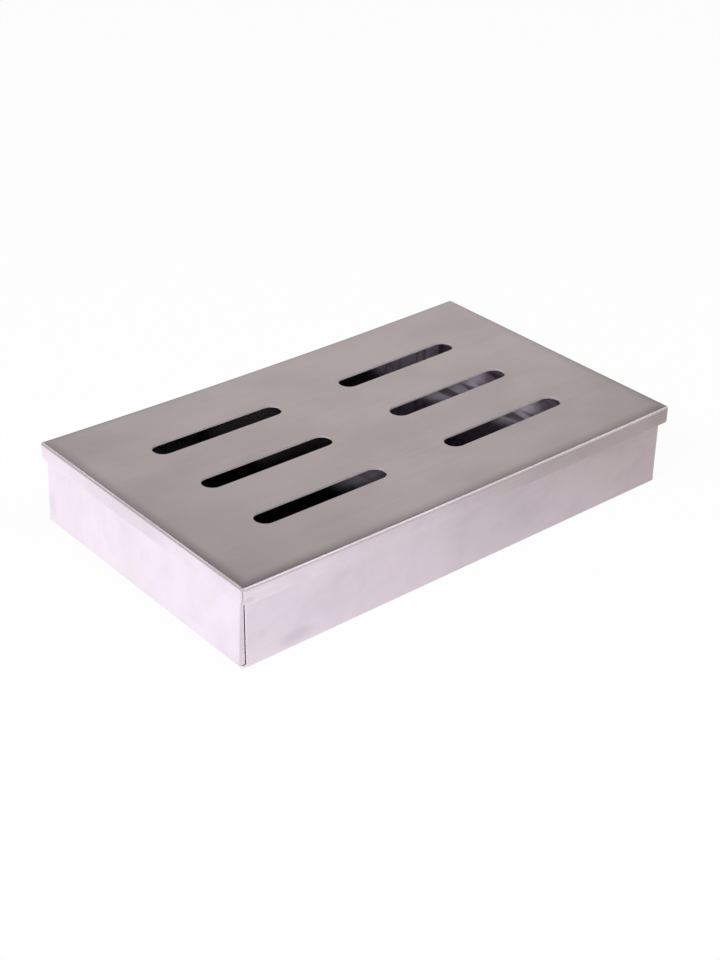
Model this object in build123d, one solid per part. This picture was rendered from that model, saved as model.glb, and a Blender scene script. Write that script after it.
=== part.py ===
from build123d import *
from math import cos, radians, sin, tan
import os

# Smoker box for wood chips: an open tray and a slotted lift-off lid, each folded from one
# sheet of stainless steel. Millimetres, +Z up. X runs along the long side, Y along the
# short side, and the origin is the middle of the tray's underside.

# Sheet and folds
sheet = 0.9
bend_inside = 0.25
rim_ease = 0.3

# Tray, outside sizes at the floor; the end walls are folded a little past square
tray_length = 210.8
tray_width = 129.0
overall_height = 34.0
end_wall_lean = 2.4

# Tray corners: the end walls turn the corner and are welded behind the side walls
tab_reach = 14.0
tab_clearance = 0.1
tab_top_drop = 1.2
tab_corner_radius = 4.0
side_wall_setback = 2.2
corner_foot_height = 1.8
corner_slit = 0.4

# Spot welds through each tab
weld_diameter = 4.0
weld_from_corner = 8.0
weld_count = 2

# Lid: how far it hangs down, and how it sits on the tray, pushed towards the near corner
lid_drop = 7.0
near_gap = 0.2
far_gap_x = 2.5
far_gap_y = 0.3
seat_gap = 0.1
flange_seam = 0.3
flange_corner_radius = 3.0

# Slots in the lid
slot_length = 60.5
slot_width = 9.0
slot_columns = 2
slot_rows = 3
slot_pitch_x = 92.0
slot_pitch_y = 32.4

# Sizes that follow
bend_outside = bend_inside + sheet
rim_z = overall_height - sheet - seat_gap
tab_face_y = tray_width / 2 - sheet - tab_clearance
tab_foot_z = corner_foot_height + corner_slit
tab_top_z = rim_z - tab_top_drop
side_wall_length = tray_length - 2 * side_wall_setback
end_strip_width = tray_width - 2 * bend_outside
weld_rise = (tab_top_z - tab_foot_z) / weld_count

# The lid's flanges clear the end walls where they are widest under them, at their lower edge
flange_foot_z = overall_height - lid_drop
covered_length = tray_length - 2 * flange_foot_z * tan(radians(end_wall_lean))
lid_length = covered_length + 2 * sheet + near_gap + far_gap_x
lid_width = tray_width + 2 * sheet + near_gap + far_gap_y
lid_center = ((far_gap_x - near_gap) / 2, (far_gap_y - near_gap) / 2)
side_flange_length = lid_length - 2 * (sheet + flange_seam)


def folded(plane, points, width):
    """A strip of the sheet, folded along the outline of its outer face, centred on the plane."""
    outline = FilletPolyline(*points, radius=bend_outside)
    strip = make_brake_formed(sheet, width, outline, side=Side.LEFT)
    return plane * Pos(0, 0, -width / 2) * strip


def ease_rim(wall):
    """Deburr the top edges, inside and out, and leave the cut ends of the sheet square."""
    rim = wall.edges().group_by(Axis.Z)[-1]
    sides = [edge for edge in rim if abs(edge.length - sheet) > rim_ease / 10]
    return fillet(sides, rim_ease)


def base_and_side_walls():
    """The floor of the tray with the two long walls turned up from it."""
    half = tray_width / 2
    outline = [(-half, rim_z), (-half, 0), (half, 0), (half, rim_z)]
    return ease_rim(folded(Plane.YZ, outline, side_wall_length))


def end_wall_foot():
    """The floor's other two folds, which reach as far as the long walls' own folds."""
    half = tray_length / 2
    lean = radians(end_wall_lean)
    top_x = half - corner_foot_height * sin(lean)
    top_z = corner_foot_height * cos(lean)
    outline = [(-top_x, top_z), (-half, 0), (half, 0), (top_x, top_z)]
    return folded(Plane.XZ, outline, end_strip_width)


def end_wall(side):
    """A short wall with the tabs that turn the corner and lie behind the long walls."""
    outer_x = side * tray_length / 2
    tab_end_x = outer_x - side * tab_reach
    outline = [
        (tab_end_x, -side * tab_face_y),
        (outer_x, -side * tab_face_y),
        (outer_x, side * tab_face_y),
        (tab_end_x, side * tab_face_y),
    ]
    height = rim_z - corner_foot_height
    wall = folded(Plane.XY.offset(corner_foot_height + height / 2), outline, height)

    # The wall's middle stands on its foot; its folds and tabs clear the floor by a slit
    fold_start_y = tab_face_y - bend_outside
    for end in (-1, 1):
        wall -= Pos(outer_x, end * fold_start_y, corner_foot_height) * Box(
            2 * (tab_reach + sheet),
            bend_outside + sheet,
            corner_slit,
            align=(Align.CENTER, Align.MIN if end > 0 else Align.MAX, Align.MIN),
        )

    # The tabs stop short of the rim
    tab_start_x = outer_x - side * bend_outside
    wall -= Pos(tab_start_x, 0, tab_top_z) * Box(
        2 * tab_reach,
        tray_width,
        tray_width,
        align=(Align.MAX if side > 0 else Align.MIN, Align.CENTER, Align.MIN),
    )
    free_corners = wall.edges().filter_by(Axis.Y).group_by(Axis.X)[0 if side > 0 else -1]
    wall = ease_rim(fillet(free_corners, tab_corner_radius))

    # The whole wall leans inwards about the line where the floor and its outer face meet
    return wall.rotate(Axis((outer_x, 0, 0), (0, 1, 0)), -side * end_wall_lean)


def spot_welds():
    """The fused spots that hold each tab against the inner face of its long wall."""
    spots = []
    weld_x = tray_length / 2 - weld_from_corner
    for x in (-weld_x, weld_x):
        for wall in (-1, 1):
            for row in range(weld_count):
                z = tab_foot_z + weld_rise * (row + 0.5)
                middle_y = wall * (tab_face_y + tab_clearance / 2)
                spot = Plane(origin=(x, middle_y, z), z_dir=(0, 1, 0)) * Cylinder(
                    weld_diameter / 2, tab_clearance + sheet
                )
                spots.append(spot)
    return spots


def tray():
    """The whole tray: one folded blank, closed at its corners by the welded tabs."""
    blank = base_and_side_walls() + end_wall_foot() + end_wall(-1) + end_wall(1)
    return blank + spot_welds()


def pan(length, width, top_z, fold_radius):
    """A block with its four top edges rounded, as the outside or the inside of the lid."""
    block = Pos(*lid_center, top_z) * Box(
        length, width, lid_drop, align=(Align.CENTER, Align.CENTER, Align.MAX)
    )
    return fillet(block.faces().sort_by(Axis.Z)[-1].edges(), fold_radius)


def lid_slots():
    """The rows of round-ended slots that let the smoke out."""
    slots = Sketch() + [
        place * SlotOverall(slot_length, slot_width)
        for place in GridLocations(slot_pitch_x, slot_pitch_y, slot_columns, slot_rows)
    ]
    return extrude(Pos(*lid_center, overall_height) * slots, -2 * sheet)


def lid():
    """The lid: a slotted sheet with four turned-down flanges that close over the tray."""
    outside = pan(lid_length, lid_width, overall_height, bend_outside)
    inside = pan(
        lid_length - 2 * sheet, lid_width - 2 * sheet, overall_height - sheet, bend_inside
    )
    blank = outside - inside - lid_slots()

    # The side flanges end just short of the end flanges, which run the full width
    seam_x = (side_flange_length + flange_seam) / 2
    seam_y = (lid_width - sheet) / 2
    for x in (-seam_x, seam_x):
        for y in (-seam_y, seam_y):
            blank -= Pos(lid_center[0] + x, lid_center[1] + y, flange_foot_z) * Box(
                flange_seam,
                2 * sheet,
                lid_drop - bend_outside,
                align=(Align.CENTER, Align.CENTER, Align.MIN),
            )

    # Each flange end is rounded at its free corner, so that it has no sharp tip
    flange_feet = blank.edges().group_by(Axis.Z)[0]
    tips = [edge for edge in flange_feet if edge.length < flange_corner_radius]
    return fillet(tips, flange_corner_radius)


os.makedirs("parts", exist_ok=True)
export_step(tray(), "parts/tray.step")
export_step(lid(), "parts/lid.step")
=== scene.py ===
from math import cos, pi, radians, sin, tan

import bmesh
import bpy
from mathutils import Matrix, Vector


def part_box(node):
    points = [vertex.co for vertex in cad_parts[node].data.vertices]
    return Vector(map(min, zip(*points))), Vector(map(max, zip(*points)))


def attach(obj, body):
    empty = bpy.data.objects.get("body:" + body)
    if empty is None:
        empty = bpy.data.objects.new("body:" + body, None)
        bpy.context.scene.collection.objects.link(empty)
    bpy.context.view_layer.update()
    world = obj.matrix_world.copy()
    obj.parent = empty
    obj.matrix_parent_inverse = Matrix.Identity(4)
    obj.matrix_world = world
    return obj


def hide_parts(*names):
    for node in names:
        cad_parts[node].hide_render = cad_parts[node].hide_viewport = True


bl_info = {
    "name": "Smoker Box",
    "version": (1, 0, 0),
    "blender": (4, 5, 0),
    "location": "View3D > Sidebar > Smoker Box",
    "description": "A folded steel tray for wood chips with a slotted lift-off lid",
    "category": "Add Mesh",
}

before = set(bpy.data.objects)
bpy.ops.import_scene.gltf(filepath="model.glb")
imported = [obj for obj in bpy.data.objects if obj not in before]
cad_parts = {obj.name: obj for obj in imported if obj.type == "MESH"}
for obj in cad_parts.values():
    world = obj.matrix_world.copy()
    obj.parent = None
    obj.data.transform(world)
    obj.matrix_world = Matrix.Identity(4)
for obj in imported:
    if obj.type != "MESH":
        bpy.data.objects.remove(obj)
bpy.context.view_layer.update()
lid_low, lid_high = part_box("lid")

MM = 0.001

# Places this close count as the same, vertices this close are joined, faces this close touch
SAME = 1e-6
JOIN = 1e-7
TOUCH = 0.01 * MM

# A face whose normal reaches this far along an axis faces that way
FACING = 0.9

# How finely the round shapes are divided, and how far the fine mesh reaches round a weld
# for each unit of its radius
TAB_CORNER_STEPS = 6
LID_CORNER_STEPS = 8
SLOT_END_STEPS = 12
WELD_CUTS = 11
WELD_SURROUND = 1.5
EDGE_STEPS = 2

# Edges turned by more degrees than this are cut edges, and how far flat faces rule the shading
SHARP_ANGLE = 50
FLAT_WEIGHT = 80


# Sizes and colours


class SheetSettings(bpy.types.PropertyGroup):
    """The steel sheet that both pieces are folded from"""

    thickness: bpy.props.FloatProperty(
        name="Thickness", description="Thickness of the sheet", default=0.9 * MM, unit="LENGTH"
    )
    fold: bpy.props.FloatProperty(
        name="Fold radius",
        description="Outer radius of each fold",
        default=1.15 * MM,
        unit="LENGTH",
    )
    fold_steps: bpy.props.IntProperty(
        name="Fold steps", description="Flats that make up a fold", default=6, min=2
    )
    cut_edge: bpy.props.FloatProperty(
        name="Cut edge", description="Rounding of the cut edges", default=0.18 * MM, unit="LENGTH"
    )
    bay: bpy.props.FloatProperty(
        name="Bay",
        description="Longest stretch that stays straight",
        default=8 * MM,
        unit="LENGTH",
    )


class TraySettings(bpy.types.PropertyGroup):
    """The open tray"""

    length: bpy.props.FloatProperty(
        name="Length", description="Length at the floor", default=210.8 * MM, unit="LENGTH"
    )
    width: bpy.props.FloatProperty(
        name="Width", description="Width over the long walls", default=129 * MM, unit="LENGTH"
    )
    rim: bpy.props.FloatProperty(
        name="Rim", description="Height of the walls", default=32.85 * MM, unit="LENGTH"
    )
    lean: bpy.props.FloatProperty(
        name="Lean", description="Lean of the end walls", default=radians(2.4), subtype="ANGLE"
    )
    setback: bpy.props.FloatProperty(
        name="Setback",
        description="How far the long walls stop short of the ends",
        default=2.2 * MM,
        unit="LENGTH",
    )
    foot: bpy.props.FloatProperty(
        name="Foot",
        description="Height of the floor's own fold at a corner",
        default=1.3 * MM,
        unit="LENGTH",
    )
    foot_draw: bpy.props.FloatProperty(
        name="Foot draw",
        description="How far the floor's own fold draws in at a corner",
        default=1 * MM,
        unit="LENGTH",
    )
    slit: bpy.props.FloatProperty(
        name="Slit",
        description="Slit between foot and corner fold",
        default=0.03 * MM,
        unit="LENGTH",
    )
    tab_gap: bpy.props.FloatProperty(
        name="Tab gap",
        description="Room between tab and long wall",
        default=0.3 * MM,
        unit="LENGTH",
    )
    tab_reach: bpy.props.FloatProperty(
        name="Tab reach",
        description="How far a tab goes from the end wall's face",
        default=14 * MM,
        unit="LENGTH",
    )
    tab_drop: bpy.props.FloatProperty(
        name="Tab drop",
        description="How far a tab stays below the rim",
        default=1.2 * MM,
        unit="LENGTH",
    )
    tab_corner: bpy.props.FloatProperty(
        name="Tab corner",
        description="Radius of a tab's free corners",
        default=4 * MM,
        unit="LENGTH",
    )
    weld_inset: bpy.props.FloatProperty(
        name="Weld inset",
        description="Distance of the spot welds from the end wall",
        default=8 * MM,
        unit="LENGTH",
    )
    weld_size: bpy.props.FloatProperty(
        name="Weld size", description="Diameter of a spot weld", default=4 * MM, unit="LENGTH"
    )
    weld_dent: bpy.props.FloatProperty(
        name="Weld dent", description="Depth of a spot weld", default=0.05 * MM, unit="LENGTH"
    )


class LidSettings(bpy.types.PropertyGroup):
    """The slotted lid"""

    length: bpy.props.FloatProperty(
        name="Length",
        description="Length over the end flanges",
        default=lid_high.x - lid_low.x,
        unit="LENGTH",
    )
    width: bpy.props.FloatProperty(
        name="Width",
        description="Width over the side flanges",
        default=lid_high.y - lid_low.y,
        unit="LENGTH",
    )
    drop: bpy.props.FloatProperty(
        name="Drop",
        description="Height of the flanges",
        default=lid_high.z - lid_low.z,
        unit="LENGTH",
    )
    centre: bpy.props.FloatVectorProperty(
        name="Centre",
        description="Middle of the lid's top face on the tray",
        default=((lid_low.x + lid_high.x) / 2, (lid_low.y + lid_high.y) / 2, lid_high.z),
        subtype="TRANSLATION",
    )
    corner: bpy.props.FloatProperty(
        name="Corner",
        description="Rounding of the lid's four corners",
        default=1.4 * MM,
        unit="LENGTH",
    )
    seam: bpy.props.FloatProperty(
        name="Seam",
        description="Room between the flanges at a corner",
        default=0.26 * MM,
        unit="LENGTH",
    )
    end_tip: bpy.props.FloatProperty(
        name="End tip",
        description="Rounding of the end flanges' lower corners",
        default=3 * MM,
        unit="LENGTH",
    )
    side_tip: bpy.props.FloatProperty(
        name="Side tip",
        description="Rounding of the side flanges' lower corners",
        default=1.3 * MM,
        unit="LENGTH",
    )
    slot_length: bpy.props.FloatProperty(
        name="Slot length", description="Length of a slot", default=60.5 * MM, unit="LENGTH"
    )
    slot_width: bpy.props.FloatProperty(
        name="Slot width", description="Width of a slot", default=9 * MM, unit="LENGTH"
    )
    slot_pitch: bpy.props.FloatVectorProperty(
        name="Slot pitch",
        description="Distance between the slots along and across the lid",
        size=2,
        default=(92 * MM, 32.4 * MM),
        subtype="XYZ",
    )
    slot_grid: bpy.props.IntVectorProperty(
        name="Slot grid", description="Columns and rows of slots", size=2, default=(2, 3)
    )
    sag: bpy.props.FloatVectorProperty(
        name="Sag",
        description="How far the front and the back edge hang down half way along",
        size=2,
        default=(0.71 * MM, 1.27 * MM),
        subtype="XYZ",
    )
    roll: bpy.props.FloatVectorProperty(
        name="Roll",
        description="How wide and how deep the top face rolls over towards its folds",
        size=2,
        default=(4.5 * MM, 0.16 * MM),
        subtype="XYZ",
    )


class SteelSettings(bpy.types.PropertyGroup):
    """The look of the stainless steel"""

    colour: bpy.props.FloatVectorProperty(
        name="Colour",
        description="Colour of the clean steel",
        size=3,
        default=(0.97, 0.9, 0.98),
        subtype="COLOR",
    )
    edge_colour: bpy.props.FloatVectorProperty(
        name="Cut edge colour",
        description="Colour of the sheared edges",
        size=3,
        default=(0.93, 0.89, 0.93),
        subtype="COLOR",
    )
    # Darker than the outer steel: painted shade for the inside of the box
    inner_shade_colour: bpy.props.FloatVectorProperty(
        name="Inner colour",
        description="Colour of the clean inner faces",
        size=3,
        default=(0.47, 0.46, 0.51),
        subtype="COLOR",
    )
    roughness: bpy.props.FloatProperty(
        name="Roughness", description="How far reflections blur", default=0.2, min=0, max=1
    )
    inner_roughness: bpy.props.FloatProperty(
        name="Inner roughness",
        description="How far reflections blur on the inner faces",
        default=0.11,
        min=0,
        max=1,
    )
    grain: bpy.props.FloatProperty(
        name="Grain", description="Depth of the rolled grain", default=0.012 * MM, unit="LENGTH"
    )
    clouds: bpy.props.FloatProperty(
        name="Clouds", description="Strength of the dull patches", default=0.05, min=0, max=1
    )
    # Lighter than the inner steel: painted light where the inner faces are rubbed dull
    rubbed_and_lit_colour: bpy.props.FloatVectorProperty(
        name="Rubbed colour",
        description="Colour of the inner faces where they are rubbed dull",
        size=3,
        default=(0.92, 0.86, 0.97),
        subtype="COLOR",
    )
    stain_colour: bpy.props.FloatVectorProperty(
        name="Stain",
        description="Colour of the warm patches on the upright faces",
        size=3,
        default=(0.93, 0.89, 0.85),
        subtype="COLOR",
    )


class StageSettings(bpy.types.PropertyGroup):
    """The floor, the lamps and the camera"""

    floor_colour: bpy.props.FloatVectorProperty(
        name="Floor",
        description="Colour of the floor",
        size=3,
        default=(0.9, 0.9, 0.9),
        subtype="COLOR",
    )
    mirror_colour: bpy.props.FloatVectorProperty(
        name="Mirrored floor",
        description="Colour of the floor as the steel mirrors it",
        size=3,
        default=(1.0, 0.95, 1.0),
        subtype="COLOR",
    )
    mirror_shade: bpy.props.FloatVectorProperty(
        name="Mirrored shade",
        description="The same in the dimmer part at the right",
        size=3,
        default=(0.4, 0.36, 0.325),
        subtype="COLOR",
    )
    # Painted shadow of the tray on the mirrored floor, along its foot
    shadow_band_colour: bpy.props.FloatVectorProperty(
        name="Mirrored band",
        description="The same in the dim band along the tray's foot",
        size=3,
        default=(0.6, 0.56, 0.58),
        subtype="COLOR",
    )
    room_colour: bpy.props.FloatVectorProperty(
        name="Room",
        description="Colour of the room",
        size=3,
        default=(1.0, 0.94, 0.865),
        subtype="COLOR",
    )
    room_level: bpy.props.FloatProperty(
        name="Room level", description="Brightness of the room", default=0.22, min=0, max=1
    )
    lamp_colour: bpy.props.FloatVectorProperty(
        name="Lamps",
        description="Colour of the lamps",
        size=3,
        default=(1.0, 0.96, 1.0),
        subtype="COLOR",
    )
    camera_place: bpy.props.FloatVectorProperty(
        name="Camera place",
        description="Where the camera stands",
        default=(-394.04 * MM, -469.91 * MM, 365.58 * MM),
        subtype="TRANSLATION",
    )
    camera_turn: bpy.props.FloatVectorProperty(
        name="Camera turn",
        description="How the camera is turned",
        default=(radians(59.799), radians(-0.6398), radians(-39.6562)),
        subtype="EULER",
    )
    camera_lens: bpy.props.FloatProperty(
        name="Lens", description="Focal length in millimetres", default=66.51
    )


# Shaping


def cut_across(work, axis, places):
    """Adds edge lines across the whole shape where a coordinate has the given values."""
    normal = Vector((0, 0, 0))
    normal[axis] = 1
    for place in places:
        geometry = work.verts[:] + work.edges[:] + work.faces[:]
        bmesh.ops.bisect_plane(
            work, geom=geometry, dist=JOIN, plane_co=normal * place, plane_no=normal
        )


def bays(low, high, longest):
    """Evenly spaced places from low to high, no further apart than longest."""
    count = max(1, round((high - low) / longest + 0.5))
    return [low + (high - low) * i / count for i in range(count + 1)]


def each_once(items):
    """The items without repeats, in the order in which they come."""
    return list(dict.fromkeys(items))


def edges_where(work, test):
    """The edges whose ends both pass the test."""
    return [edge for edge in work.edges if all(test(vert.co) for vert in edge.verts)]


def turn_up(work, edges, centre, axis, angle, steps):
    """Folds new sheet round an axis from a row of edges and gives its far edges."""
    made = bmesh.ops.spin(
        work, geom=edges, cent=centre, axis=axis, angle=angle, steps=steps, use_merge=False
    )
    return [item for item in made["geom_last"] if isinstance(item, bmesh.types.BMEdge)]


def run_on(work, edges, step):
    """Adds flat sheet on from a row of edges and gives its far edges."""
    made = bmesh.ops.extrude_edge_only(work, edges=edges)["geom"]
    verts = [item for item in made if isinstance(item, bmesh.types.BMVert)]
    bmesh.ops.translate(work, verts=verts, vec=step)
    return [
        item
        for item in made
        if isinstance(item, bmesh.types.BMEdge) and all(v in verts for v in item.verts)
    ]


def lay_flat(work, length, width, fold_z, upwards):
    """Maps the sheet as its unfolded blank, in metres, so that the grain runs on through folds."""
    layer = work.loops.layers.uv.new("Blank")
    for face in work.faces:
        normal = face.normal
        for loop in face.loops:
            place = loop.vert.co
            rise = (place.z - fold_z) * upwards
            if abs(normal.z) >= max(abs(normal.x), abs(normal.y)):
                flat = (place.x, place.y)
            elif abs(normal.x) > abs(normal.y):
                flat = ((length / 2 + rise) * (1 if normal.x > 0 else -1), place.y)
            else:
                flat = (place.x, (width / 2 + rise) * (1 if place.y > 0 else -1))
            loop[layer].uv = flat


def mark_finish(work):
    """Notes on the vertices where the sheet is folded and where it stands upright."""
    square, lying = 0.97, 0.8
    fold = work.verts.layers.float.new("Fold")
    side = work.verts.layers.float.new("Side")
    work.normal_update()
    for vert in work.verts:
        normals = [face.normal for face in vert.link_faces]
        folded = [max(abs(c) for c in normal) < square for normal in normals]
        vert[fold] = sum(folded) / len(folded)
        vert[side] = float(all(abs(normal.z) < lying for normal in normals))


def thicken(piece, sheet):
    """Gives a folded skin its thickness, rounds its cut edges and smooths its folds."""
    solid = piece.modifiers.new("Sheet", "SOLIDIFY")
    solid.thickness = sheet.thickness
    solid.offset = -1
    solid.use_even_offset = True
    solid.use_quality_normals = True
    solid.material_offset_rim = 1
    solid.material_offset = 2
    edge = piece.modifiers.new("Cut edges", "BEVEL")
    edge.limit_method = "ANGLE"
    edge.angle_limit = radians(SHARP_ANGLE)
    edge.width = sheet.cut_edge
    edge.segments = EDGE_STEPS
    edge.use_clamp_overlap = True
    smooth = piece.modifiers.new("Smooth", "WEIGHTED_NORMAL")
    smooth.keep_sharp = True
    smooth.weight = FLAT_WEIGHT


def finish_piece(work, name, materials):
    """Turns the shape into a smooth-shaded object at the origin and gives it its materials."""
    mesh = bpy.data.meshes.new(name)
    for face in work.faces:
        face.smooth = True
    work.to_mesh(mesh)
    work.free()
    piece = bpy.data.objects.new(name, mesh)
    bpy.context.scene.collection.objects.link(piece)
    for material in materials:
        mesh.materials.append(material)
    return piece


def sag_at(lid, x, y):
    """How far the lid hangs down at a place on it."""
    along = 2 * (x - lid.centre[0]) / lid.length
    across = (y - lid.centre[1]) / lid.width + 0.5
    front, back = lid.sag
    return (front + (back - front) * across) * max(0, 1 - along * along)


# Tray


def tray_corner_wall(work, edges, side, tray, sheet):
    """An end wall, its two corner folds and the tabs that lie behind the long walls."""
    up = Vector((-side * sin(tray.lean), 0, cos(tray.lean)))
    inwards = Vector((-side * cos(tray.lean), 0, -sin(tray.lean)))
    outer = Vector((side * tray.length / 2, 0, 0))
    fold_y = tray.width / 2 - sheet.thickness - tray.tab_gap - sheet.fold
    wall_foot = tray.foot + tray.slit
    tab_top = tray.rim - tray.tab_drop
    tab_end = tray.length / 2 - tray.tab_reach

    def height(place):
        return (place - outer).dot(up)

    # The foot, then the wall above the slit, which is narrower than the foot
    start = sum(height(v.co) for v in edges[0].verts) / 2
    edges = run_on(work, edges, up * (tray.foot - start))
    middle = [e for e in edges if all(abs(v.co.y) < fold_y + SAME for v in e.verts)]
    for low, high in ((tray.foot, wall_foot), (wall_foot, tab_top), (tab_top, tray.rim)):
        middle = run_on(work, middle, up * (high - low))

    # The corner folds, and the tabs, which stop below the rim
    for end in (-1, 1):

        def on_fold(place):
            above = height(place) > wall_foot - SAME
            return above and abs(place.y - end * fold_y) < SAME and place.x * side > tab_end

        centre = outer + inwards * sheet.fold + Vector((0, end * fold_y, 0))
        angle = side * end * pi / 2
        row = edges_where(work, on_fold)
        far = turn_up(work, row, centre, up, angle, sheet.fold_steps)
        tab = [e for e in far if all(height(v.co) < tab_top + SAME for v in e.verts)]
        free = run_on(work, tab, inwards * (tray.tab_reach - sheet.fold))
        corners = each_once(v for e in free for v in e.verts)
        bmesh.ops.bevel(
            work,
            geom=corners,
            offset=tray.tab_corner,
            segments=TAB_CORNER_STEPS,
            profile=0.5,
            affect="VERTICES",
            material=-1,
        )


def press_weld(work, spot, radius, depth):
    """Divides the wall finely round a spot and presses a shallow dent with a raised rim."""
    reach = radius * WELD_SURROUND
    same_wall = 0.5 * MM

    def around(place):
        away = place - spot
        return abs(away.y) < same_wall and max(abs(away.x), abs(away.z)) < reach

    near = [
        face
        for face in work.faces
        if abs(face.normal.y) > FACING and around(face.calc_center_median())
    ]
    edges = each_once(edge for face in near for edge in face.edges)
    bmesh.ops.subdivide_edges(work, edges=edges, cuts=WELD_CUTS, use_grid_fill=True)
    rim_at, rim_width, rim_rise = 1.1, 0.2, 0.25
    for vert in work.verts:
        away = vert.co - spot
        if abs(away.y) > same_wall:
            continue
        distance = (away.x**2 + away.z**2) ** 0.5 / radius
        if distance < rim_at + rim_width:
            rim = rim_rise * max(0, 1 - abs(distance - rim_at) / rim_width)
            press = max(0, 1 - distance**4) - rim
            vert.co.y -= press * depth * (1 if spot.y > 0 else -1)


def tray_skin(tray, sheet, lid):
    """The outer face of the tray's blank, folded up."""
    work = bmesh.new()
    half_x, half_y = tray.length / 2, tray.width / 2
    end_fold = half_x - sheet.fold * tan((pi / 2 + tray.lean) / 2)
    side_fold = half_y - sheet.fold
    wall_end = half_x - tray.setback
    tab_fold = side_fold - sheet.thickness - tray.tab_gap
    bmesh.ops.create_grid(work, x_segments=1, y_segments=1, size=1)
    bmesh.ops.scale(work, verts=work.verts[:], vec=(end_fold, side_fold, 1))

    weld_count = 2
    welds_x = half_x - tray.weld_inset
    weld_low = tray.foot + tray.slit
    weld_pitch = (tray.rim - tray.tab_drop - weld_low) / weld_count
    weld_z = [weld_low + weld_pitch * (row + 0.5) for row in range(weld_count)]
    cell = tray.weld_size / 2 * WELD_SURROUND
    inner = welds_x - cell
    cuts_x = bays(-inner, inner, sheet.bay)
    cuts_x += [x * s for x in (welds_x + cell, wall_end) for s in (-1, 1)]
    cut_across(work, 0, cuts_x)
    cut_across(work, 1, bays(-tab_fold, tab_fold, 2 * sheet.bay))

    # Long walls, with lines left for the welds
    for side in (-1, 1):
        row = edges_where(
            work,
            lambda p: abs(p.y - side * side_fold) < SAME and abs(p.x) < wall_end + SAME,
        )
        centre = (0, side * side_fold, sheet.fold)
        row = turn_up(work, row, centre, (1, 0, 0), side * pi / 2, sheet.fold_steps)
        height = sheet.fold
        stops = [z + d for z in weld_z for d in (-cell, cell)] + [tray.rim]
        for stop in stops:
            row = run_on(work, row, (0, 0, stop - height))
            height = stop

    # End walls
    for side in (-1, 1):
        row = edges_where(work, lambda p: abs(p.x - side * end_fold) < SAME and p.z < SAME)
        centre = (side * end_fold, 0, sheet.fold)
        angle = -side * (pi / 2 + tray.lean)
        row = turn_up(work, row, centre, (0, 1, 0), angle, sheet.fold_steps)
        tray_corner_wall(work, row, side, tray, sheet)

    bmesh.ops.remove_doubles(work, verts=work.verts[:], dist=JOIN)
    bmesh.ops.recalc_face_normals(work, faces=work.faces[:])
    for x in (-welds_x, welds_x):
        for y in (-half_y, half_y):
            for z in weld_z:
                press_weld(work, Vector((x, y, z)), tray.weld_size / 2, tray.weld_dent)

    # The end folds draw in towards the corner folds above them
    for vert in work.verts:
        if abs(vert.co.x) > end_fold + SAME and abs(abs(vert.co.y) - side_fold) < SAME:
            drawn = tray.foot_draw * min(1, vert.co.z / tray.foot) ** 2
            vert.co.y -= drawn * (1 if vert.co.y > 0 else -1)

    # The long walls' rims follow the sagging lid
    for vert in work.verts:
        if abs(abs(vert.co.y) - half_y) < TOUCH and abs(vert.co.z - tray.rim) < SAME:
            vert.co.z -= sag_at(lid, vert.co.x, vert.co.y)
    mark_finish(work)
    lay_flat(work, tray.length, tray.width, 0, 1)

    # It stands a hair above the floor
    bmesh.ops.translate(work, verts=work.verts[:], vec=(0, 0, TOUCH))
    return work


# Lid


def slot_loop(work, centre, length, width, bay):
    """The outline of one round-ended slot."""
    radius = width / 2
    straight = length / 2 - radius
    rows = []
    for side in (-1, 1):
        turn_at = Vector((centre.x + side * straight, centre.y, centre.z))
        start = work.verts.new(turn_at - Vector((0, side * radius, 0)))
        made = bmesh.ops.spin(
            work, geom=[start], cent=turn_at, axis=(0, 0, 1), angle=pi, steps=SLOT_END_STEPS
        )
        last = [v for v in made["geom_last"] if isinstance(v, bmesh.types.BMVert)][0]
        rows.append((start, last))
    joins = [
        work.edges.new((rows[0][0], rows[1][1])),
        work.edges.new((rows[0][1], rows[1][0])),
    ]
    bmesh.ops.subdivide_edges(work, edges=joins, cuts=round(2 * straight / bay))

    def on_outline(place):
        along = max(0, abs(place.x - centre.x) - straight)
        across = place.y - centre.y
        from_arc = abs((along**2 + across**2) ** 0.5 - radius)
        return from_arc < TOUCH and abs(place.z - centre.z) < SAME

    return [e for e in edges_where(work, on_outline) if not e.link_faces]


def cut_slot(work, centre, cell, lid, bay):
    """Opens one slot: the flat round it is taken out and closed up to the slot's outline."""
    gone = [
        face
        for face in work.faces
        if face.normal.z > FACING
        and abs(face.calc_center_median().x - centre.x) < cell[0]
        and abs(face.calc_center_median().y - centre.y) < cell[1]
    ]
    inside = each_once(e for f in gone for e in f.edges)
    rim = [e for e in inside if any(f not in gone for f in e.link_faces)]
    bmesh.ops.delete(work, geom=gone, context="FACES")
    loop = slot_loop(work, centre, lid.slot_length, lid.slot_width, bay)
    bmesh.ops.triangle_fill(work, edges=rim + loop, use_beauty=True, normal=(0, 0, 1))


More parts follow.
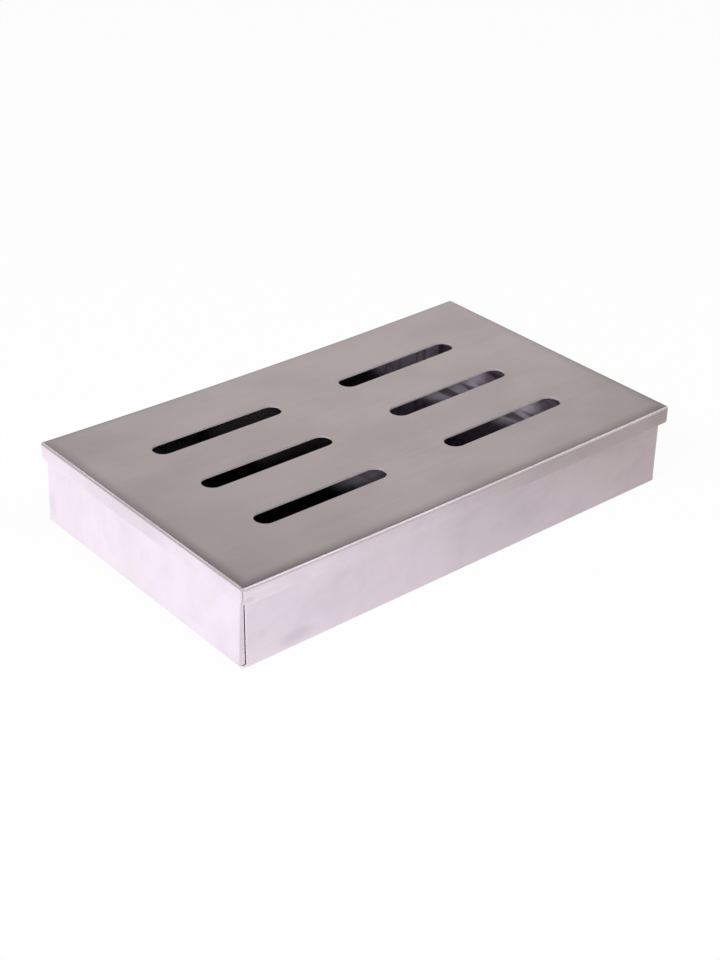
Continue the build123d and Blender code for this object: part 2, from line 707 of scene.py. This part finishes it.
def lid_skin(lid, sheet):
    """The outer face of the lid."""
    work = bmesh.new()
    centre = Vector(lid.centre)
    half_x, half_y = lid.length / 2, lid.width / 2
    foot = centre.z - lid.drop
    bmesh.ops.create_cube(work, size=1)
    bmesh.ops.scale(work, verts=work.verts[:], vec=(lid.length, lid.width, lid.drop))
    bmesh.ops.translate(work, verts=work.verts[:], vec=centre - Vector((0, 0, lid.drop / 2)))
    underside = [face for face in work.faces if face.normal.z < -FACING]
    bmesh.ops.delete(work, geom=underside, context="FACES_ONLY")
    shape = {"profile": 0.5, "affect": "EDGES", "material": -1}
    upright = [e for e in work.edges if abs(e.verts[0].co.z - e.verts[1].co.z) > lid.drop / 2]
    bmesh.ops.bevel(work, geom=upright, offset=lid.corner, segments=LID_CORNER_STEPS, **shape)
    top = edges_where(work, lambda p: abs(p.z - centre.z) < SAME)
    bmesh.ops.bevel(work, geom=top, offset=sheet.fold, segments=sheet.fold_steps, **shape)

    # Lines across: the rolled edges, the slots' surrounds and the bays
    columns, rows = lid.slot_grid
    slot_x = [(i - (columns - 1) / 2) * lid.slot_pitch[0] for i in range(columns)]
    slot_y = [(i - (rows - 1) / 2) * lid.slot_pitch[1] for i in range(rows)]
    surround = 2.5 * MM
    cell = (lid.slot_length / 2 + surround, lid.slot_width / 2 + surround)
    roll, roll_depth = lid.roll
    roll_steps = 5
    edge_lines = [sheet.fold + roll * (k + 1) / roll_steps for k in range(roll_steps)]
    for axis, half, marks in (
        (0, half_x, [x + d for x in slot_x for d in (-cell[0], cell[0])]),
        (1, half_y, [y + d for y in slot_y for d in (-cell[1], cell[1])]),
    ):
        inner = half - edge_lines[-1]
        stops = [-inner, *marks, inner]
        longest = sheet.bay if axis == 0 else 2 * sheet.bay
        lines = [inner]
        for start, stop in zip(stops, stops[1:]):
            lines += bays(start, stop, longest)[:-1]
        for line in edge_lines[:-1]:
            lines += [line - half, half - line]
        cut_across(work, axis, [centre[axis] + place for place in lines])
    fold_end = centre.z - sheet.fold
    # A line just below the fold, from which the painted shade on the flange's top fades out
    below_fold = fold_end - 0.2 * MM
    cut_across(work, 2, [below_fold])

    # The flanges meet half way round each corner, in a seam below the fold
    def on_seam(place):
        across = (half_x - abs(place.x - centre.x)) - (half_y - abs(place.y - centre.y))
        near = half_x - abs(place.x - centre.x) < lid.corner
        return near and abs(across) < SAME and place.z < fold_end + SAME

    bmesh.ops.split_edges(work, edges=edges_where(work, on_seam))
    for vert in work.verts:
        if on_seam(vert.co) and vert.co.z < below_fold + SAME:
            away = sum((f.calc_center_median() for f in vert.link_faces), Vector())
            away = away / len(vert.link_faces) - vert.co
            away.z = 0
            vert.co += away.normalized() * lid.seam / 2

    # Rounded tips, measured along each flange from the seam
    seam_inset = 0.29 * lid.corner
    for vert in work.verts:
        if abs(vert.co.z - foot) > SAME:
            continue
        from_end = half_x - abs(vert.co.x - centre.x)
        from_side = half_y - abs(vert.co.y - centre.y)
        on_end = from_end < from_side
        radius = lid.end_tip if on_end else lid.side_tip
        reach = (from_side if on_end else from_end) - seam_inset
        if reach < radius:
            vert.co.z += radius - (radius**2 - (radius - max(0, reach)) ** 2) ** 0.5

    for x in slot_x:
        for y in slot_y:
            cut_slot(work, centre + Vector((x, y, 0)), cell, lid, sheet.bay)

    bmesh.ops.remove_doubles(work, verts=work.verts[:], dist=JOIN)
    bmesh.ops.recalc_face_normals(work, faces=work.faces[:])
    mark_finish(work)
    lay_flat(work, lid.length, lid.width, centre.z, -1)
    # The flange's top just below the fold takes part of the fold's darkening, fading out down the
    # flange: painted shade
    fold_mark = work.verts.layers.float["Fold"]
    flange_shade_mark = 0.4
    for vert in work.verts:
        if abs(vert.co.z - below_fold) < SAME:
            vert[fold_mark] = flange_shade_mark
        from_edge = min(half_x - abs(vert.co.x - centre.x), half_y - abs(vert.co.y - centre.y))
        bow = max(0, 1 - max(0, from_edge - sheet.fold) / roll)
        if vert.co.z > fold_end - SAME:
            vert.co.z -= roll_depth * bow**2
        vert.co.z -= sag_at(lid, vert.co.x, vert.co.y)
    return work


# Materials


class Shade:
    """A value in a material; a sum written with it adds the Math nodes that it needs."""

    def __init__(self, recipe, socket):
        self.recipe = recipe
        self.socket = socket

    def _math(self, operation, first, second):
        values = {0: first, 1: second}
        return self.recipe.add("ShaderNodeMath", {"operation": operation}, values)

    def __add__(self, other):
        return self._math("ADD", self, other)

    def __radd__(self, other):
        return self._math("ADD", other, self)

    def __sub__(self, other):
        return self._math("SUBTRACT", self, other)

    def __rsub__(self, other):
        return self._math("SUBTRACT", other, self)

    def __mul__(self, other):
        return self._math("MULTIPLY", self, other)

    def __rmul__(self, other):
        return self._math("MULTIPLY", other, self)

    def __abs__(self):
        return self.recipe.add("ShaderNodeMath", {"operation": "ABSOLUTE"}, {0: self})


class Recipe:
    """The nodes of one material."""

    def __init__(self, tree):
        self.tree = tree
        self.tree.nodes.clear()

    def add(self, kind, settings=None, values=None, output=0):
        """Adds a node: its settings first, then the values or links of its sockets."""
        node = self.tree.nodes.new(kind)
        for name, value in (settings or {}).items():
            setattr(node, name, value)
        for name, value in (values or {}).items():
            if isinstance(value, Shade):
                self.tree.links.new(value.socket, node.inputs[name])
            else:
                node.inputs[name].default_value = value
        return Shade(self, node.outputs[output] if node.outputs else None)

    def ease(self, value, low, high):
        """0 below low, 1 above high, smooth between."""
        settings = {"interpolation_type": "SMOOTHSTEP"}
        return self.add(
            "ShaderNodeMapRange", settings, {"Value": value, "From Min": low, "From Max": high}
        )

    def noise(self, place, size, detail, rough, stretch, shift):
        """Soft noise whose blots are size across, drawn out along the grain by stretch."""
        moved = self.add(
            "ShaderNodeMapping",
            None,
            {"Vector": place, "Location": (shift, shift, shift), "Scale": (1 / stretch, 1, 1)},
        )
        values = {"Vector": moved, "Scale": 1 / size, "Detail": detail, "Roughness": rough}
        return self.add("ShaderNodeTexNoise", None, values)

    def spot(self, place, centre, size):
        """A soft spot: 1 at its centre on the blank, 0 beyond its half size."""
        away = self.add(
            "ShaderNodeVectorMath",
            {"operation": "SUBTRACT"},
            {0: place, 1: (*centre, 0)},
        )
        away = self.add(
            "ShaderNodeVectorMath",
            {"operation": "MULTIPLY"},
            {0: away, 1: (1 / size[0], 1 / size[1], 0)},
        )
        away = self.add("ShaderNodeVectorMath", {"operation": "LENGTH"}, {0: away}, output="Value")
        return 1 - self.ease(away, 0.2, 1.0)

    def mix(self, factor, first, second):
        """A blend of two colours."""
        settings = {"data_type": "RGBA"}
        return self.add("ShaderNodeMix", settings, {0: factor, 6: first, 7: second}, output=2)


def tint(colour, factor):
    """A colour made lighter or darker."""
    return (*(c * factor for c in colour), 1)


# Patterns of the finish: size of the blots, detail and roughness of the noise, how far the
# rolling draws them out, and a shift that keeps each pattern apart from the others
CLOUDS = (30 * MM, 2, 0.5, 1.4, 0.0)
SMEARS = (11 * MM, 3, 0.6, 1.2, 0.37)
STAINS = (15 * MM, 1, 0.5, 1.6, 0.91)
STREAKS = (1.4 * MM, 3, 0.6, 50, 0.11)
GRAIN = (0.3 * MM, 2, 0.6, 40, 0.73)
SPECKS = (1.6 * MM, 1, 0.5, 1, 0.53)
RUB_BORDER = (12 * MM, 2, 0.5, 1, 0.0)
# The light and dark bands painted on the rubbed inner faces
PAINTED_BANDS = (30 * MM, 1, 0.5, 0.2, 0.3)
SHEAR_LINES = (0.3 * MM, 3, 0.6, 1, 0.0)

# How far each pattern or mark darkens the steel, and how far it roughens it. The folds darken as
# duller stretched steel and as painted shade along the folds.
DARKENS = {"dull": 0.2, "smear": 0.7, "streaks": 0.12, "grain": 0.08, "fold": 0.3, "speck": -0.4}
ROUGHENS = {"fold": 0.26, "speck": -0.05}

# A smear's strength on a lying face and how much more an upright face takes, a stain's
# strength, and the clouds' middle level, about which the roughness goes up and down
SMEAR_LYING, SMEAR_UPRIGHT = 0.04, 0.42
STAIN_STRENGTH = 0.22
CLOUD_LEVEL = 1.6


def weighed(weights, values):
    """The sum of the named values, each times its weight."""
    return sum(weight * values[name] for name, weight in weights.items())


def steel_base(recipe, steel, base, rough, marks):
    """The blank's map, and the colour, roughness and grain of rolled steel on it."""
    blank = recipe.add("ShaderNodeUVMap", {"uv_map": "Blank"})
    fold = recipe.add("ShaderNodeAttribute", {"attribute_name": "Fold"}, None, output="Fac")
    side = recipe.add("ShaderNodeAttribute", {"attribute_name": "Side"}, None, output="Fac")
    dull = recipe.ease(recipe.noise(blank, *CLOUDS), 0.3, 0.7)
    smear = recipe.ease(recipe.noise(blank, *SMEARS), 0.4, 0.75)
    smear = smear * (SMEAR_LYING + SMEAR_UPRIGHT * side)
    streaks = recipe.noise(blank, *STREAKS)
    grain = recipe.noise(blank, *GRAIN)
    speck = recipe.ease(recipe.noise(blank, *SPECKS), 0.8, 0.86)
    values = {
        "dull": dull,
        "smear": smear,
        "streaks": streaks,
        "grain": grain,
        "fold": fold,
        "speck": speck,
    }
    shade = weighed(DARKENS, values)
    # The listed patches darken the steel, and lighten it where their strength is below nought; on
    # the lid most are painted shade
    for place, size, strength in marks:
        shade = shade + strength * recipe.spot(blank, place, size)
    light, dark = tint(base, 1.02), tint(base, 1 - 3 * steel.clouds)
    colour = recipe.mix(shade, light, dark)
    stain = recipe.ease(recipe.noise(blank, *STAINS), 0.45, 0.7) * side
    colour = recipe.mix(STAIN_STRENGTH * stain, colour, (*steel.stain_colour, 1))
    wear = steel.clouds * (dull + smear + streaks + grain - CLOUD_LEVEL)
    rough = rough + wear + weighed(ROUGHENS, values)
    return blank, colour, rough, 0.6 * grain + streaks


def outer_steel(name, steel, marks):
    """The outer face of the sheet."""
    material = bpy.data.materials.new(name)
    material.use_nodes = True
    recipe = Recipe(material.node_tree)
    _, colour, roughness, grain = steel_base(recipe, steel, steel.colour, steel.roughness, marks)
    bump = recipe.add(
        "ShaderNodeBump", None, {"Strength": 0.3, "Distance": steel.grain, "Height": grain}
    )
    surface = recipe.add(
        "ShaderNodeBsdfPrincipled",
        None,
        {"Base Color": colour, "Metallic": 1.0, "Roughness": roughness, "Normal": bump},
    )
    recipe.add("ShaderNodeOutputMaterial", None, {"Surface": surface})
    return material


# The rubbed parts of the inner face, which also take a painted lighter colour: how far their
# border slants and wavers and over what distance they fade in, how much of the steel their film
# hides, and how dull they are
RUB_SLANT, RUB_WAVER, RUB_FADE = 0.28, 6 * MM, 12 * MM
RUB_FILM, RUB_DULLING = 0.6, 0.22


def inner_steel(name, steel, finish):
    """The inner face of the sheet: darker, as painted shade for the inside of the box, and
    bright-rolled; in places rubbed dull and painted lighter, in light and dark bands.
    """
    material = bpy.data.materials.new(name)
    material.use_nodes = True
    recipe = Recipe(material.node_tree)
    blank, colour, roughness, _ = steel_base(
        recipe, steel, steel.inner_shade_colour, steel.inner_roughness, ()
    )
    along = recipe.add("ShaderNodeSeparateXYZ", None, {"Vector": blank}, output="X")
    across = Shade(recipe, along.socket.node.outputs["Y"])
    out = abs(along) + RUB_SLANT * across + RUB_WAVER * recipe.noise(blank, *RUB_BORDER)
    rubbed = recipe.ease(out, finish["rubbed_from"], finish["rubbed_from"] + RUB_FADE)
    for place, size, strength in finish["inner_marks"]:
        rubbed = rubbed + strength * recipe.spot(blank, place, size)
    # The rubbed parts take a lighter colour broken into light and dark bands: painted light and
    # painted shade inside the tray. Only the lower metallic and the added roughness are the rubbed
    # film.
    dark, light = tint(steel.rubbed_and_lit_colour, 0.3), tint(steel.rubbed_and_lit_colour, 1)
    painted_bands = recipe.ease(recipe.noise(blank, *PAINTED_BANDS), 0.35, 0.52)
    colour = recipe.mix(rubbed, colour, recipe.mix(painted_bands, dark, light))
    surface = recipe.add(
        "ShaderNodeBsdfPrincipled",
        None,
        {
            "Base Color": colour,
            "Metallic": 1 - RUB_FILM * recipe.ease(rubbed, 0, 1),
            "Roughness": roughness + RUB_DULLING * rubbed,
        },
    )
    recipe.add("ShaderNodeOutputMaterial", None, {"Surface": surface})
    return material


# Darker patches, and lighter ones where the strength is below nought, each with its place and half
# size on the unfolded blank and its strength; on the lid all but one lighter strip are painted
# shade. Then inner patches that are rubbed dull and painted lighter, and the distance from the
# middle beyond which the inner face is rubbed dull and painted lighter, which for the lid lies
# beyond its ends
TRAY_FINISH = {
    "marks": (
        # A darker patch low on the front wall near the left end
        ((-82 * MM, -69 * MM), (12 * MM, 4 * MM), 0.7),
        # A darker patch on the left end wall near the back corner
        ((-114 * MM, 60 * MM), (8 * MM, 3.5 * MM), 0.5),
        # A small darker spot on the front wall near the left end
        ((-97 * MM, -76 * MM), (3 * MM, 3 * MM), 0.3),
        # A broad darker patch over the middle of the front wall
        ((12 * MM, -80 * MM), (40 * MM, 24 * MM), 0.4),
    ),
    # A patch in the middle of the floor, rubbed dull and painted lighter like the ends
    "inner_marks": (((14 * MM, 14 * MM), (26 * MM, 18 * MM), 0.5),),
    "rubbed_from": 88 * MM,
}
LID_FINISH = {
    "marks": (
        # Painted shadow: a dark wedge low on the front flange beside the front corner
        ((-102.5 * MM, -70.8 * MM), (2.6 * MM, 1.2 * MM), 2.2),
        # A lighter strip on the front flange near the front corner
        ((-96 * MM, -68.6 * MM), (6 * MM, 1.0 * MM), -0.6),
        # Painted shade along the left end flange
        ((-110.5 * MM, 8 * MM), (8 * MM, 42 * MM), 0.8),
        # Painted shade: the front flange darker over its middle and right
        ((30 * MM, -70 * MM), (60 * MM, 12 * MM), 0.5),
        # Painted shade round the flanges at the right front corner
        ((107 * MM, -68 * MM), (16 * MM, 12 * MM), 0.9),
    ),
    "inner_marks": (),
    "rubbed_from": 1.0,
}


def sheet_materials(name, steel, finish):
    """The finishes of one folded sheet: its outer face, its cut edge and its inner face."""
    return (
        outer_steel(f"{name} steel", steel, finish["marks"]),
        cut_edge_material(steel),
        inner_steel(f"{name} inner steel", steel, finish),
    )


def cut_edge_material(steel):
    """The sheared edge of the sheet: bright, with fine lines across its thickness."""
    material = bpy.data.materials.new("Sheared steel edge")
    material.use_nodes = True
    recipe = Recipe(material.node_tree)
    place = recipe.add("ShaderNodeTexCoord", None, None, output="Object")
    lines = recipe.noise(place, *SHEAR_LINES)
    colour = recipe.mix(lines, tint(steel.edge_colour, 0.9), tint(steel.edge_colour, 1.05))
    roughness = 0.5 + 0.25 * lines
    bump = recipe.add(
        "ShaderNodeBump", None, {"Strength": 0.6, "Distance": 0.02 * MM, "Height": lines}
    )
    surface = recipe.add(
        "ShaderNodeBsdfPrincipled",
        None,
        {"Base Color": colour, "Metallic": 0.3, "Roughness": roughness, "Normal": bump},
    )
    recipe.add("ShaderNodeOutputMaterial", None, {"Surface": surface})
    return material


# Operators


class SMOKERBOX_OT_tray(bpy.types.Operator):
    """Make the folded steel tray"""

    bl_idname = "smokerbox.tray"
    bl_label = "Make tray"

    def execute(self, context):
        scene = context.scene
        work = tray_skin(scene.smoker_tray, scene.smoker_sheet, scene.smoker_lid)
        materials = sheet_materials("Tray", scene.smoker_steel, TRAY_FINISH)
        piece = finish_piece(work, "folded_tray", materials)
        thicken(piece, scene.smoker_sheet)
        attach(piece, "tray")
        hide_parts("tray")
        return {"FINISHED"}


class SMOKERBOX_OT_lid(bpy.types.Operator):
    """Make the slotted lid"""

    bl_idname = "smokerbox.lid"
    bl_label = "Make lid"

    def execute(self, context):
        scene = context.scene
        work = lid_skin(scene.smoker_lid, scene.smoker_sheet)
        materials = sheet_materials("Lid", scene.smoker_steel, LID_FINISH)
        piece = finish_piece(work, "slotted_lid", materials)
        thicken(piece, scene.smoker_sheet)
        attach(piece, "lid")
        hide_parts("lid")
        return {"FINISHED"}


# The floor: half its size, how far it lies below the tray, and how much of the white that the
# camera sees is its own, where the rest is lit and takes the shadow
FLOOR_HALF_SIZE = 4.0
FLOOR_GAP = 0.2 * MM
FLOOR_WHITE = 0.95

# The mirrored floor, painted with shade: how far from the middle its shade is full, where the
# painted shadow of the tray in front of its foot starts and ends and its strength, and how far and
# how strongly it dims far away
SHADE_REACH = 110 * MM
SHADOW_BAND_STARTS, SHADOW_BAND_ENDS = (-50 * MM, -70 * MM), (-86 * MM, -105 * MM)
SHADOW_BAND_STRENGTH = 0.4
FAR_FADE = (250 * MM, 1000 * MM)
FAR_DIMMING = 0.3

# Bright places on the room's walls: azimuth and elevation of the middle, angles from there at
# which the glow starts to fade and has gone, and its strength
ROOM_GLOWS = (
    (51, 26, 2, 16, 0.24),
    (56, 43, 2, 15, -0.15),
    (-138, 32, 10, 40, 0.7),
    (-58, 12, 10, 36, 0.6),
    (-55, 29, 5, 13, -0.74),
    (160, 46, 5, 19, 1.8),
    (135, 5, 5, 35, 0.35),
)

# Lamps that face the object: azimuth, elevation and distance, width and height, power, and
# whether the steel mirrors the lamp. The last one shines through the slots.
LAMPS = (
    ("Right softbox", (-44, 54, 1.3), (1.1, 0.62), 3.4, True),
    ("Left softbox", (98, 44, 1.3), (0.74, 0.46), 1.0, True),
    ("Top softbox", (0, 88, 1.3), (0.8, 0.8), 1.4, True),
    ("Slot lamp", (-164, 41, 1.3), (0.2, 0.3), 6.5, False),
)


def towards(azimuth, elevation):
    """The direction of a place in the room, given in degrees."""
    turned, raised = radians(azimuth), radians(elevation)
    return Vector((cos(raised) * cos(turned), cos(raised) * sin(turned), sin(raised)))


def add_lamp(name, azimuth, elevation, distance, size, power, mirrored, colour):
    """Sets up a soft lamp that faces the object from a direction."""
    light = bpy.data.lights.new(name, "AREA")
    light.shape = "RECTANGLE"
    light.size, light.size_y = size
    light.energy = power
    light.color = colour
    lamp = bpy.data.objects.new(name, light)
    bpy.context.scene.collection.objects.link(lamp)
    direction = towards(azimuth, elevation)
    lamp.location = direction * distance
    lamp.rotation_euler = (-direction).to_track_quat("-Z", "Y").to_euler()
    lamp.visible_camera = False
    lamp.visible_glossy = mirrored


class SMOKERBOX_OT_stage(bpy.types.Operator):
    """Set up the pale floor, the soft lamps and the camera"""

    bl_idname = "smokerbox.stage"
    bl_label = "Set up stage"

    def execute(self, context):
        scene = context.scene
        stage = scene.smoker_stage

        # Floor: white to the camera. To the steel it shows painted shade: dimmer towards the
        # right, a painted shadow of the tray in a band along its foot, and dimmer far away from
        # the object.
        work = bmesh.new()
        bmesh.ops.create_grid(work, x_segments=1, y_segments=1, size=FLOOR_HALF_SIZE)
        bmesh.ops.translate(work, verts=work.verts[:], vec=(0, 0, -FLOOR_GAP))
        material = bpy.data.materials.new("Pale floor")
        material.use_nodes = True
        recipe = Recipe(material.node_tree)
        camera_ray = recipe.add("ShaderNodeLightPath", None, None, output="Is Camera Ray")
        rays = camera_ray.socket.node.outputs
        glossy_ray = Shade(recipe, rays["Is Glossy Ray"])
        mirrored = glossy_ray + Shade(recipe, rays["Is Transmission Ray"])
        place = recipe.add("ShaderNodeTexCoord", None, None, output="Object")
        along = recipe.add("ShaderNodeSeparateXYZ", None, {"Vector": place}, output="X")
        across = Shade(recipe, along.socket.node.outputs["Y"])
        away = recipe.add(
            "ShaderNodeVectorMath", {"operation": "LENGTH"}, {0: place}, output="Value"
        )
        ramp = recipe.add(
            "ShaderNodeMapRange",
            None,
            {"Value": along, "From Min": -SHADE_REACH, "From Max": SHADE_REACH},
        )
        seen = recipe.mix(ramp, (*stage.mirror_colour, 1), (*stage.mirror_shade, 1))
        # The painted shadow of the tray in front of its foot
        band = recipe.ease(across, *SHADOW_BAND_STARTS) - recipe.ease(across, *SHADOW_BAND_ENDS)
        seen = recipe.mix(SHADOW_BAND_STRENGTH * band, seen, (*stage.shadow_band_colour, 1))
        seen = recipe.mix(FAR_DIMMING * recipe.ease(away, *FAR_FADE), seen, (0, 0, 0, 1))
        seen = recipe.mix(camera_ray, seen, (1, 1, 1, 1))
        matt = recipe.add("ShaderNodeBsdfDiffuse", None, {"Color": (*stage.floor_colour, 1)})
        white = recipe.add("ShaderNodeEmission", None, {"Color": seen, "Strength": 1.0})
        shown = recipe.add(
            "ShaderNodeMixShader",
            None,
            {0: FLOOR_WHITE * camera_ray + mirrored, 1: matt, 2: white},
        )
        recipe.add("ShaderNodeOutputMaterial", None, {"Surface": shown})
        floor = finish_piece(work, "floor", [material])

        # Room: dim, with soft bright places on its walls
        world = bpy.data.worlds.new("Room")
        world.use_nodes = True
        recipe = Recipe(world.node_tree)
        direction = recipe.add("ShaderNodeTexCoord", None, None, output="Generated")
        level = 0.0
        for azimuth, elevation, inner, outer, strength in ROOM_GLOWS:
            near = recipe.add(
                "ShaderNodeVectorMath",
                {"operation": "DOT_PRODUCT"},
                {0: direction, 1: towards(azimuth, elevation)},
                output="Value",
            )
            level = level + strength * recipe.ease(near, cos(radians(outer)), cos(radians(inner)))
        wall = recipe.add(
            "ShaderNodeVectorMath",
            {"operation": "SCALE"},
            {0: stage.room_colour, "Scale": level + stage.room_level},
        )
        sky = recipe.add("ShaderNodeBackground", None, {"Color": wall, "Strength": 1.0})
        recipe.add("ShaderNodeOutputWorld", None, {"Surface": sky})
        scene.world = world
        for name, (azimuth, elevation, distance), size, power, mirrored in LAMPS:
            add_lamp(
                name, azimuth, elevation, distance, size, power, mirrored, stage.lamp_colour
            )
        scene.view_settings.view_transform = "Standard"

        # Camera
        data = bpy.data.cameras.new("Camera")
        data.lens = stage.camera_lens
        camera = bpy.data.objects.new("Camera", data)
        scene.collection.objects.link(camera)
        camera.location = stage.camera_place
        camera.rotation_euler = stage.camera_turn
        data.clip_start, data.clip_end = 0.01, 20
        scene.camera = camera
        return {"FINISHED"}


class SMOKERBOX_PT_panel(bpy.types.Panel):
    """Everything that makes the smoker box"""

    bl_idname = "SMOKERBOX_PT_panel"
    bl_label = "Smoker Box"
    bl_space_type = "VIEW_3D"
    bl_region_type = "UI"
    bl_category = "Smoker Box"

    def draw(self, context):
        for operator in OPERATORS:
            self.layout.operator(operator.bl_idname)
        for name in SETTINGS:
            group = getattr(context.scene, name)
            box = self.layout.box()
            for key in group.__annotations__:
                box.prop(group, key)


OPERATORS = (SMOKERBOX_OT_stage, SMOKERBOX_OT_tray, SMOKERBOX_OT_lid)
SETTINGS = {
    "smoker_sheet": SheetSettings,
    "smoker_tray": TraySettings,
    "smoker_lid": LidSettings,
    "smoker_steel": SteelSettings,
    "smoker_stage": StageSettings,
}


def register():
    """Registers the settings, the operators and the panel."""
    for name, group in SETTINGS.items():
        bpy.utils.register_class(group)
        setattr(bpy.types.Scene, name, bpy.props.PointerProperty(type=group))
    for operator in OPERATORS:
        bpy.utils.register_class(operator)
    bpy.utils.register_class(SMOKERBOX_PT_panel)


def unregister():
    """Takes back what register() added."""
    bpy.utils.unregister_class(SMOKERBOX_PT_panel)
    for operator in reversed(OPERATORS):
        bpy.utils.unregister_class(operator)
    for name, group in reversed(SETTINGS.items()):
        delattr(bpy.types.Scene, name)
        bpy.utils.unregister_class(group)


def main():
    """Makes the stage and every piece."""
    register()
    bpy.ops.smokerbox.stage()
    bpy.ops.smokerbox.tray()
    bpy.ops.smokerbox.lid()


if __name__ == "__main__":
    main()
